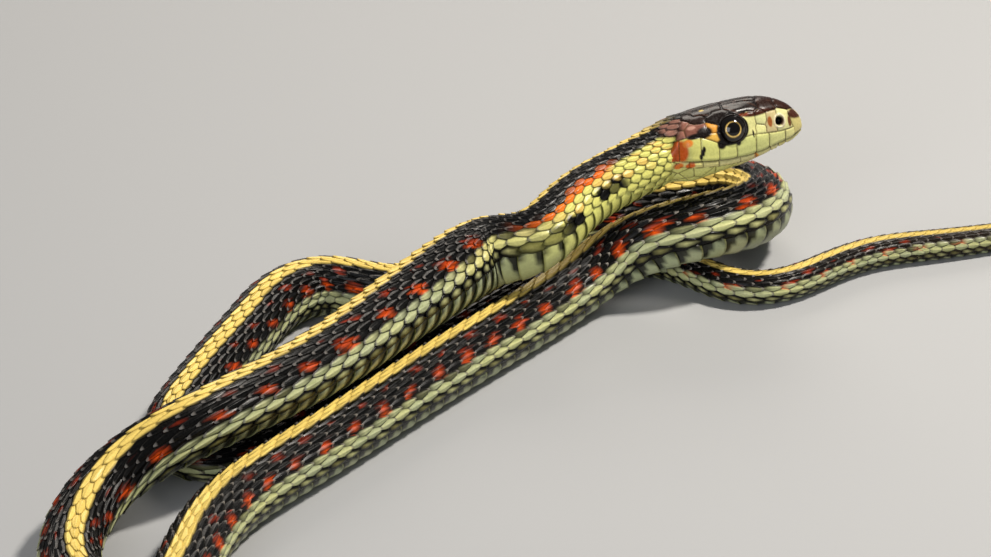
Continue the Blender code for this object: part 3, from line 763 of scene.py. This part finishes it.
points = np.vstack([snout, head_points.reshape(-1, 3), tube.reshape(-1, 3), tube[-1].mean(0)])
colours = np.vstack([head_colours[0].mean(0), head_colours.reshape(-1, 3),
                     tube_colours.reshape(-1, 3), under_dark])


def ring_faces(first, count, sides):
    """Quads between rings of points that follow one another."""
    rows, columns = np.meshgrid(np.arange(count - 1), np.arange(sides), indexing="ij")
    after = (columns + 1) % sides
    return (first + np.stack([rows * sides + columns, rows * sides + after,
                              (rows + 1) * sides + after, (rows + 1) * sides + columns],
                             -1)).reshape(-1, 4).tolist()


def fan_faces(first, sides, middle):
    """Triangles from a ring of points to the point in its middle."""
    return [[first + i, first + (i + 1) % sides, middle] for i in range(sides)]


faces = fan_faces(1, AROUND, 0) + ring_faces(1, HEAD_STATIONS, AROUND)
head_face_count = len(faces)
last_head = 1 + (HEAD_STATIONS - 1) * AROUND
first_tube = last_head + AROUND
each_side = AROUND // SKIN_SIDES
for i in range(SKIN_SIDES):
    wide_edge = [last_head + (i * each_side + k) % AROUND for k in range(each_side + 1)]
    faces.append([*wide_edge, first_tube + (i + 1) % SKIN_SIDES, first_tube + i])
faces += ring_faces(first_tube, len(skin_places), SKIN_SIDES)
faces += fan_faces(first_tube + (len(skin_places) - 1) * SKIN_SIDES, SKIN_SIDES, len(points) - 1)
snake_skin = make_piece("snake_skin", points, faces, colours, head_finish)
snake_skin.data.materials.append(skin_finish)
snake_skin.data.polygons.foreach_set(
    "material_index", (np.arange(len(faces)) >= head_face_count).astype(np.int32))
face_outwards(snake_skin)
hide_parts(*[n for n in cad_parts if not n.startswith("eye_")])

# The eyes
# Each eye is a round ball under a clear fixed scale, so it is very glossy. A thin gold ring lies
# round the black pupil in a nearly black iris, and the scale's edge is a narrow grey rim.
EYE_RADIUS, EYE_SINK, EYE_OPENING = 2.7, 1.6, 2.27
PUPIL_MM, GOLD_MM = 1.14, 1.31
EYE_TILT = (0.03, 1.0, 0.10)  # of its axis: back, out and up, square to the head's side
RIM_MM, RIM_OUT_MM = 0.11, 0.1  # half the rim's thickness, and how far outside the opening it is
EYE_SIDES, RIM_SIDES = 64, 8
FLECKS_PER_MM = 3.8

# a wet, clear scale over faint flecks: smooth below, with a thin coat for the sharp glint
eye_finish, tree, shader = new_material("clear_eye_scale")
place = node(tree, "ShaderNodeTexCoord").outputs["Object"]
flecks = node(tree, "ShaderNodeTexNoise", [(place, "Vector")],
              Scale=FLECKS_PER_MM / MM, Detail=2.0).outputs["Fac"]
tone_by_points(tree, shader, flecks, 0.7, 1.25)
shader.inputs["Roughness"].default_value = 0.12
shader.inputs["Specular IOR Level"].default_value = 0.25
shader.inputs["Coat Weight"].default_value = 0.4
shader.inputs["Coat Roughness"].default_value = 0.03


def lay_eye(name, hand):
    """One eyeball with the rim round its opening: hand is 1 for the left eye and -1 for the right."""
    out_mm = float(out_at(EYE_BACK, EYE_UP)) - EYE_SINK
    centre = head_tip + EYE_BACK * backward + hand * out_mm * leftward + EYE_UP * upward
    axis = unit(EYE_TILT[0] * backward + hand * EYE_TILT[1] * leftward + EYE_TILT[2] * upward)
    first = unit(np.cross(axis, upward))
    second = np.cross(first, axis)
    turn = np.linspace(0, 2 * math.pi, EYE_SIDES, endpoint=False)
    spin = np.cos(turn)[:, None] * first + np.sin(turn)[:, None] * second
    # the ball has rings where the pupil and the gold end
    pupil, gold = math.asin(PUPIL_MM / EYE_RADIUS), math.asin(GOLD_MM / EYE_RADIUS)
    polar = np.array([*np.linspace(0.08, pupil - 0.03, 5), pupil, pupil + 0.03,
                      (pupil + gold) / 2, gold - 0.03, gold + 0.01, gold + 0.06,
                      *np.linspace(gold + 0.15, 3.05, 16)])
    ball = centre + EYE_RADIUS * (np.cos(polar)[:, None, None] * axis
                                  + np.sin(polar)[:, None, None] * spin)
    # the ring is thicker low down, and painted brighter there and behind, as painted light on its lit
    # side
    low_side = 0.5 - 0.5 * np.sin(turn)
    lit_side = 0.5 * low_side + 0.25 - 0.25 * hand * np.cos(turn)
    ring_share = step(polar, pupil - 0.01, pupil + 0.02)[:, None] \
        * (1 - step(polar[:, None] - 0.05 * low_side, gold - 0.04, gold + 0.03))
    iris = mix(linear("#070606"), linear("#1a110b"),
               step(polar, gold, gold + 0.5)[:, None] * (0.3 + 0.4 * low_side))
    tint = mix(iris, linear("#e6c069"), ring_share * (0.25 + 0.75 * step(lit_side, 0.1, 0.55)))
    rim_turn = np.linspace(0, 2 * math.pi, RIM_SIDES, endpoint=False)
    rim_up = math.sqrt(EYE_RADIUS ** 2 - EYE_OPENING ** 2) + RIM_MM * np.sin(rim_turn)
    rim_out = EYE_OPENING + RIM_OUT_MM + RIM_MM * np.cos(rim_turn)
    rim = centre + rim_up[:, None] * axis + rim_out[:, None] * spin[:, None]
    rim = rim.reshape(-1, 3)
    points = np.vstack([ball.reshape(-1, 3), centre + EYE_RADIUS * axis,
                        centre - EYE_RADIUS * axis, rim])
    tints = np.vstack([tint.reshape(-1, 3), linear("#060505"), linear("#0a0808"),
                       np.tile(linear("#26211f"), (len(rim), 1))])
    front = len(polar) * EYE_SIDES
    first_rim = front + 2
    last_rim = first_rim + (EYE_SIDES - 1) * RIM_SIDES
    faces = (ring_faces(0, len(polar), EYE_SIDES) + fan_faces(0, EYE_SIDES, front)
             + fan_faces(front - EYE_SIDES, EYE_SIDES, front + 1)
             + ring_faces(first_rim, EYE_SIDES, RIM_SIDES))
    for k in range(RIM_SIDES):
        after = (k + 1) % RIM_SIDES
        faces.append([last_rim + k, last_rim + after, first_rim + after, first_rim + k])
    eye = make_piece(name + "_ball", points, faces, tints, eye_finish)
    face_outwards(eye)
    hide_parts(name)


lay_eye("eye_left", 1)
lay_eye("eye_right", -1)

# The back and flank scales
# Nineteen rows of overlapping keeled scales run along the body. Each is rooted at its front
# edge, and its hind edge lies free over the next. Neighbouring rows are half a scale apart.
BELLY_EDGE = math.radians(118.5)
ROW_DEGREES = (16, 14.5, 13, 11, 11, 11, 11, 11, 13, 7)  # from the belly to half the middle row
MIDDLE_ROW = 10
SCALE_OVERLAP = 1.62  # length of a scale over the distance to the next
SCALE_SPREAD = 1.62  # width of a scale over the distance between rows
SCALE_COLUMNS = (-1.0, -0.6, -0.14, 0.0, 0.14, 0.6, 1.0)
SCALE_STATIONS = (0.0, 0.42, 0.67, 0.89, 1.0)
SCALE_OUTLINE = np.array([0.62, 1.0, 0.91, 0.55, 0.17])  # half width at each station
SCALE_ROOT_MM, SCALE_RISE_MM, KEEL_MM, SCALE_THICK_MM = -0.26, 0.52, 0.13, 0.15
UNDERSIDE_SHARE = 0.94
THROAT_ROWS = [(math.radians(126), math.radians(8), 10.0),
               (math.radians(141), math.radians(8), 6.0)]  # angle, half width and last place
NECK_END = (22, 32)  # places between which the neck's colours turn into the body's
STRIPE_EDGE = (13.5, 17.5)  # degrees from the middle of the back
PATCH = 0.0032  # side of a plate's patch on the bake map
MAP_SHARE, SPARE_MM = 0.98, 8  # of the map that roots take, and of room past a stretch's end
yellow = linear("#dabf66")
yellow_shade = linear("#b0954a")
black = linear("#070707")
# pale grey of the painted glint on the black scales' hind tips
painted_glint_grey = linear("#98928a")
lateral = linear("#bdbd84")
lateral_cool = linear("#a9ae89")
lateral_edge = linear("#6f7a48")
olive = linear("#6a6434")
neck_yellow = linear("#c5c26a")
orange = linear("#dd7420")
temple_brown = linear("#5e4036")
temple_pale = linear("#9c7060")
tail_brown = linear("#4a3a28")


def pitch_at(places):
    """Distance from one ring of scales to the next, in millimetres."""
    return between(places, [(-6, 1.4), (-2, 1.8), (3, 2.2), (20, 2.45), (38, 2.7), (47, 3.4),
                            (58, 3.8), (90, 4.2), (118, 4.6), (145, 4.0), (170, 3.7),
                            (440, 3.7), (535, 3.3), (600, 2.6), (680, 2.1), (700, 1.7),
                            (760, 1.4)])


def ring_places(start, end):
    """Where the rings of scales begin, from one length along the body to another."""
    places = [start]
    while places[-1] < end:
        places.append(places[-1] + float(pitch_at(places[-1])))
    return np.array(places[:-1])


def row_angles(rows_a_side):
    """Middle angle and half width in radians of each row of one side, belly row first."""
    sizes = np.array([*ROW_DEGREES[:rows_a_side - 1], ROW_DEGREES[-1]])
    sizes = sizes * BELLY_EDGE / sizes.sum()
    edges = BELLY_EDGE - np.r_[0, np.cumsum(sizes)]
    middles = (edges[:-1] + edges[1:]) / 2
    halves = sizes / 2
    middles[-1], halves[-1] = 0.0, sizes[-1]
    return middles, halves


def plate_form(columns, stations):
    """One closed plate: how far across and along it the points of its grid are, the points round
    its rim, its faces (grid, rim and underside), and which of them are flat."""
    wide, long = len(columns), len(stations)
    across, length = np.meshgrid(columns, stations)
    rim = [*range(wide), *[j * wide + wide - 1 for j in range(1, long)],
           *[(long - 1) * wide + i for i in range(wide - 2, -1, -1)],
           *[j * wide for j in range(long - 2, 0, -1)]]
    faces = [[a, a + 1, a + wide + 1, a + wide]
             for j in range(long - 1) for a in range(j * wide, j * wide + wide - 1)]
    flat = [False] * len(faces) + [True] * (len(rim) + 1)
    under = wide * long
    for k, a in enumerate(rim):
        after = (k + 1) % len(rim)
        faces.append([rim[after], a, under + k, under + after])
    faces.append([under + k for k in reversed(range(len(rim)))])
    return SimpleNamespace(across=across, length=length, rim=np.array(rim), faces=faces,
                           flat=np.array(flat))


def each(values):
    """Values of the plates, shaped to spread over the points of their grids."""
    return np.asarray(values)[:, None, None]


def at_rim(form, grid):
    """The values of each plate's grid at the points round its rim."""
    return grid.reshape(len(grid), -1)[:, form.rim]


def relief_at(places):
    """How tall the plates are at lengths along the body, 1 where it is thick."""
    return np.clip(radius_at(places) / FULL_RADIUS_MM, 0.25, 1.2)


def share_along(roots, start, end):
    """How far across the bake map the roots of a stretch lie."""
    return (roots - start) / (end - start + SPARE_MM) * MAP_SHARE


def plates_piece(name, finish, form, tops, lows, tints, shaded_low_tints, roots):
    """A piece of like plates from the points and colours of their grids and undersides. Each
    plate has a small patch of the bake map at its root's place."""
    count = len(tops)
    points = np.concatenate([tops.reshape(count, -1, 3), lows], 1)
    tints = np.concatenate([tints, shaded_low_tints], 1)
    local = np.stack([form.length.ravel(), (form.across.ravel() + 1) / 2], -1)
    local = np.concatenate([local, local[form.rim]])
    patches = np.stack(roots, -1)[:, None] + local * PATCH
    faces = [[corner + k * points.shape[1] for corner in face]
             for k in range(count) for face in form.faces]
    piece = make_piece(name, points.reshape(-1, 3), faces, tints.reshape(-1, 3), finish,
                       np.tile(form.flat, count), patches.reshape(-1, 2))


def red_on_black(scale):
    """Black scales with a painted glint on their hind tips and a faint one at their sides. Red lies at
    their edges and in the skin, orange low down.
    """
    length, wide = scale.length, scale.wide
    # painted highlight: a pale arc at each black scale's hind tip, and a faint one at its sides
    glint = step(length, 0.93, 1.0) * 0.85 + step(wide, 0.8, 1.0) * step(length, 0.6, 0.8) * 0.08
    spots = red_spots(scale.place, scale.angle) \
        * (0.35 + 0.65 * step(wide + 0.5 * (1 - length), 0.2, 0.5))
    low = step(scale.degrees, 52, 76)
    return mix(mix(black, painted_glint_grey, glint),
               mix(red_dark, red, low * (0.6 + 0.4 * scale.chance)),
               np.where(scale.row <= 8, spots, 0.0))


def neck_and_cheek(colour, scale):
    """The neck's orange line over its pale flank, the pale cheek and the brown temple."""
    place, row, length, wide, chance = (scale.place, scale.row, scale.length, scale.wide,
                                        scale.chance)
    line = np.where(row == 4, 0.95, np.where(row == 5, 0.5 * step(chance, 0.5, 0.7), 0.0))
    line = line * scale.near_neck * step(place, 7, 13) * step(wide + (1 - length), 0.05, 0.4)
    colour = mix(colour, mix(orange, red, 0.8 * chance), line)
    cheek = (1 - step(place, 8, 14)) * (1 - step(wide, 0.8, 1.0) * 0.6) * step(length, 0.2, 0.4)
    reach = 45 + 2.1 * np.maximum(place, 0) - 5 * np.minimum(place, 0)
    high = step(scale.degrees, reach, reach + 5)
    cheek_tint = mix(neck_yellow, orange, step(chance, 0.6, 0.9) * step(wide, 0.3, 0.9) * 0.6)
    colour = mix(colour, cheek_tint, np.where((row >= 4) & (row <= 6), cheek * high, 0.0))
    temple = (1 - step(place, -2.2, -0.6)) * (1 - high) * (row <= 8)
    temple *= (1 - step(wide, 0.75, 1.0) * 0.7) * step(length, 0.2, 0.4)
    return mix(colour, mix(temple_brown, temple_pale, chance), temple * 0.9)


def side_stripe(colour, scale):
    """The pale stripe low on each flank, in rows two and three: pale leaves in black, which are
    warmer and fuller on the neck."""
    place, length, wide, chance = scale.place, scale.length, scale.wide, scale.chance
    rear = 1 - 0.75 * step(length, 0.9, 1.0)
    leaf = (1 - step(wide, 0.74, 0.97)) * step(length, 0.26, 0.38) * rear
    belly_side = scale.across * np.where(scale.angle > 0, 1, -1)
    small = step(belly_side, -0.55, 0.05) * (1 - step(wide, 0.75, 0.97)) * rear \
        * step(length, 0.38, 0.5) * (0.25 + 0.75 * step(chance, 0.15, 0.3))
    pale = mix(mix(lateral, lateral_cool, chance), lateral_edge, step(wide, 0.35, 0.8) * 0.5)
    grime = scatter(scale.seed + np.round(wide * 9) * 7 + np.round(length * 9), 11.0)
    pale = mix(pale, lateral_edge, step(grime, 0.8, 0.9) * 0.4)
    warm = mix(mix(neck_yellow, orange, 0.3 * step(chance, 0.6, 0.9)), yellow,
               step(place, 20, 40) * 0.5)
    after_neck = 1 - step(place, 38, 54)
    pale = mix(pale, warm, np.maximum(scale.near_neck, after_neck * 0.5))
    neck_leaf = scale.near_neck * (1 - 0.8 * step(wide, 0.86, 1.0))
    on_stripe = np.where(scale.row == 2, np.maximum(leaf, neck_leaf),
                         np.where(scale.row == 3, np.maximum(small, neck_leaf), 0.0))
    return mix(colour, pale, on_stripe)


def lowest_rows(colour, scale):
    """Beside the belly, olive middles in black, and ragged black patches low on the neck."""
    place, row, length, wide = scale.place, scale.row, scale.length, scale.wide
    core = (1 - step(wide, 0.25, 0.62)) * step(length, 0.45, 0.6) * (1 - step(length, 0.8, 0.93))
    base = mix(black, mix(olive, lateral, scatter(scale.seed, 4.0) * 0.9), core * 0.9)
    base = mix(base, neck_yellow, scale.near_neck * (1 - 0.75 * step(wide, 0.85, 1.0)))
    colour = np.where((row <= 1)[..., None], base, colour)
    patch = scatter(scale.ring * 5 + np.where(scale.angle > 0, 3, 0), 12.0)
    rare = 0.4 - 0.3 * step(place, 17, 25)
    torn = step(patch, rare, rare + 0.1) * step(place, 7, 10) * scale.near_neck \
        * step(scale.degrees + 5 * np.sin(place * 2.3), 90, 96)
    return mix(colour, black, torn * np.where((row <= 2) & (row > 0), 1.0, 0.0))


def back_stripe(colour, scale):
    """The yellow stripe along the middle of the back."""
    degrees = scale.degrees + 2.0 * (scale.chance - 0.5)
    gold = mix(mix(yellow, yellow_shade, 0.3 * scale.chance), yellow_shade,
               step(scale.wide, 0.6, 1.0) * 0.6 + step(scale.length, 0.92, 1.0) * 0.3)
    stripe = (1 - step(degrees, *STRIPE_EDGE)) * step(scale.place, -5, 3)
    fade = 1 - 0.25 * step(scale.place, 560, 740)
    return mix(colour, gold, np.where(scale.row >= 9, stripe * fade, 0.0))


def scale_colour(place, angle, row, ring, across, length):
    """Markings of the garter snake: pale stripes on a black back, with red flecks between. Rows
    count from 1 beside the belly to 10 on the middle of the back, and those of the throat are 0."""
    seed = ring * 37 + row * 11 + np.where(angle > 0, 5, 0)
    scale = SimpleNamespace(place=place, angle=angle, degrees=np.degrees(np.abs(angle)), row=row,
                            ring=ring, across=across, wide=np.abs(across), length=length,
                            seed=seed, chance=scatter(seed, 1.0),
                            near_neck=1 - step(place, *NECK_END))
    colour = red_on_black(scale)
    for marking in (neck_and_cheek, side_stripe, lowest_rows, back_stripe):
        colour = marking(colour, scale)
    # painted shade darkens the roots where the scale before covers them, and the tail turns brown
    root = (1 - step(length, 0.05, 0.3)) * (0.8 - 0.3 * scale.near_neck)
    return mix(mix(colour, under_dark, root), tail_brown, step(place, 600, 730) * 0.35)


# each scale is dry horn with a low sheen, ribbed along its keel
scale_material = scale_finish("keeled_scale_keratin", 0.3, 0.10, 0.010, 0.13)
scale_form = plate_form(SCALE_COLUMNS, SCALE_STATIONS)


def scales_of(start, end, rows_a_side):
    """The scales of a stretch: the place of each one's ring, the half step of its row, its row,
    ring and side of the body (0 on the middle row), its middle angle and its half width."""
    middles, halves = row_angles(rows_a_side)
    scales = []
    for ring, begin in enumerate(ring_places(start, end)):
        for index in range(rows_a_side):
            row = index + 1
            if index == rows_a_side - 1:
                row = MIDDLE_ROW
            elif index >= 3:
                row = 4 + round((index - 3) * 5 / max(1, rows_a_side - 5))
            for hand in (0,) if row == MIDDLE_ROW else (1, -1):
                scales.append((begin, 0.5 * (index % 2), row, ring, hand, middles[index],
                               halves[index]))
        for k, (angle, half, last) in enumerate(THROAT_ROWS):
            if begin < last:
                scales += [(begin, 0.5 * (k % 2 == 0), 0, ring, hand, angle, half)
                           for hand in (1, -1)]
    scales = np.array(scales)
    roots = scales[:, 0] + scales[:, 1] * pitch_at(scales[:, 0])
    return scales[roots > nape_start(scales[:, 5]) - 0.6].T


def lay_scales(name, start, end, rows_a_side):
    """One stretch of back and flank scales."""
    begin, offset, row, ring, hand, middle, half = scales_of(start, end, rows_a_side)
    root = begin + offset * pitch_at(begin)
    jitter = scatter(ring * 7 + row * 3 + hand, 5.0) - 0.5
    length_mm = pitch_at(begin) * SCALE_OVERLAP * (1 + 0.06 * jitter)
    middle_angle = middle * np.where(hand == 0, 1, hand)
    size = relief_at(begin)
    across, length = scale_form.across, scale_form.length
    places = each(root) + length * each(length_mm)
    angles = each(middle_angle) + across * SCALE_OUTLINE[:, None] * each(half * SCALE_SPREAD)
    keel = each(np.where(row <= 1, 0.2, np.where(row == 2, 0.6, 1.0))) \
        * (np.abs(across) < 0.1) * step(length, 0.1, 0.5) * KEEL_MM
    crown = -0.12 * np.abs(across) ** 2
    heights = (SCALE_ROOT_MM + SCALE_RISE_MM * length ** 0.85 + crown + keel) * each(size)
    centre_place, centre_angle = (root + 0.5 * length_mm)[:, None], middle_angle[:, None]
    lows = on_skin(centre_place + (at_rim(scale_form, places) - centre_place) * UNDERSIDE_SHARE,
                   centre_angle + (at_rim(scale_form, angles) - centre_angle) * UNDERSIDE_SHARE,
                   at_rim(scale_form, heights) - SCALE_THICK_MM * size[:, None])
    tints = scale_colour(places, np.where(each(hand) == 0, np.abs(angles), angles), each(row),
                         each(ring), across, length).reshape(len(root), -1, 3)
    # painted shade: the plates' rim faces and undersides take half their top colour
    plates_piece(name, scale_material, scale_form, on_skin(places, angles, heights), lows,
                 tints, 0.012 + 0.5 * tints[:, scale_form.rim],
                 (share_along(root, start, end),
                  (middle_angle / (2 * math.pi)) % 1.0 * MAP_SHARE))


STRETCHES = [("scales_neck", -6.0, 32, 10), ("scales_fore", 32, 135, 10),
             ("scales_bend", 135, 252, 10), ("scales_middle", 252, 382, 10),
             ("scales_rear", 382, 495, 10), ("scales_vent", 495, 575, 9),
             ("scales_tail", 575, 645, 7), ("scales_tail_end", 645, LENGTH - 2, 6)]
for name, start, end, rows_a_side in STRETCHES:
    lay_scales(name, start, end, rows_a_side)

# The belly scutes
# One broad smooth plate to each ring of scales crosses the belly. Its hind edge overlaps the
# next, and its front corners are black. They narrow towards the chin and with the tail.
VENT_MM = 540.0
SCUTE_COLUMNS = np.linspace(-1, 1, 13)
SCUTE_STATIONS = (0.0, 0.36, 0.5, 0.64, 0.92, 1.0)
SCUTE_HALF_DEGREES = [(-1.2, 28), (3, 42), (11, 68)]  # half width at places along the body
SCUTE_OVERLAP = 1.28
SCUTE_ROOT_MM, SCUTE_RISE_MM, SCUTE_SWELL_MM, SCUTE_THICK_MM = -0.20, 0.42, 0.02, 0.16
SCUTE_TAPER = 0.98
belly_pale = linear("#abad86")
belly_cool = linear("#8c9c78")
belly_neck = linear("#c0bf68")
belly_edge = linear("#59591f")
# broad scutes are smoother than the back's scales and shine a little more
scute_material = scale_finish("belly_scute_keratin", 0.33, 0.07, 0.006, 0.22)
scute_form = plate_form(SCUTE_COLUMNS, SCUTE_STATIONS)


def scute_colour(place, number, across, length):
    """Pale scutes with black front corners and flanks, and a yellow throat."""
    chance = scatter(number, 6.0)
    pale = mix(mix(belly_pale, belly_cool, chance * 0.5), belly_neck, 1 - step(place, 16, 34))
    grown = step(place, 15, 36)
    band = (0.27 + 0.40 * np.abs(across) ** 1.2) * (0.6 + 0.4 * grown)
    dark = 1 - step(length, band - 0.03, band + 0.05)
    ragged = 0.03 * np.sin(across * 60 + length * 9)
    flank = step(np.abs(across) + ragged, 0.72 + 0.08 * chance, 0.84 + 0.06 * chance)
    dark = np.maximum(dark * step(place, 9, 15), flank * step(place, 15, 24))
    tint = mix(pale, black, dark * 0.96)
    return mix(tint, belly_edge, step(length, 0.93, 1.0) * 0.6)


def lay_scutes(name, start, end):
    """One stretch of belly scutes."""
    roots = ring_places(start, end)
    pitch = pitch_at(roots)
    size = relief_at(roots)
    across, length = scute_form.across, scute_form.length
    bow = 0.16 * (1 - across ** 2) * each(pitch)
    places = each(roots + 0.35 * pitch) + length * each(pitch * SCUTE_OVERLAP) + bow
    half = np.radians(between(roots, SCUTE_HALF_DEGREES))
    angles = math.pi + across * each(half) * (1 - 0.10 * step(length, 0.7, 1.0))
    edge = 1 - np.abs(across) ** 8
    heights = (SCUTE_ROOT_MM + (SCUTE_RISE_MM * length + SCUTE_SWELL_MM) * edge) * each(size)
    lows = on_skin(at_rim(scute_form, places),
                   math.pi + (at_rim(scute_form, angles) - math.pi) * SCUTE_TAPER,
                   at_rim(scute_form, heights) - SCUTE_THICK_MM * size[:, None])
    tints = scute_colour(each(roots), each(np.arange(len(roots))), across,
                         length).reshape(len(roots), -1, 3)
    # painted shade: the scutes' rim faces and undersides take a third of their top colour
    plates_piece(name, scute_material, scute_form, on_skin(places, angles, heights), lows,
                 tints, 0.3 * tints[:, scute_form.rim],
                 (share_along(roots, start, end), np.full(len(roots), 0.5)))


for name, start, end in (("scutes_fore", -1.2, 252), ("scutes_rear", 252, VENT_MM),
                         ("scutes_tail", VENT_MM, LENGTH - 2)):
    lay_scutes(name, start, end)

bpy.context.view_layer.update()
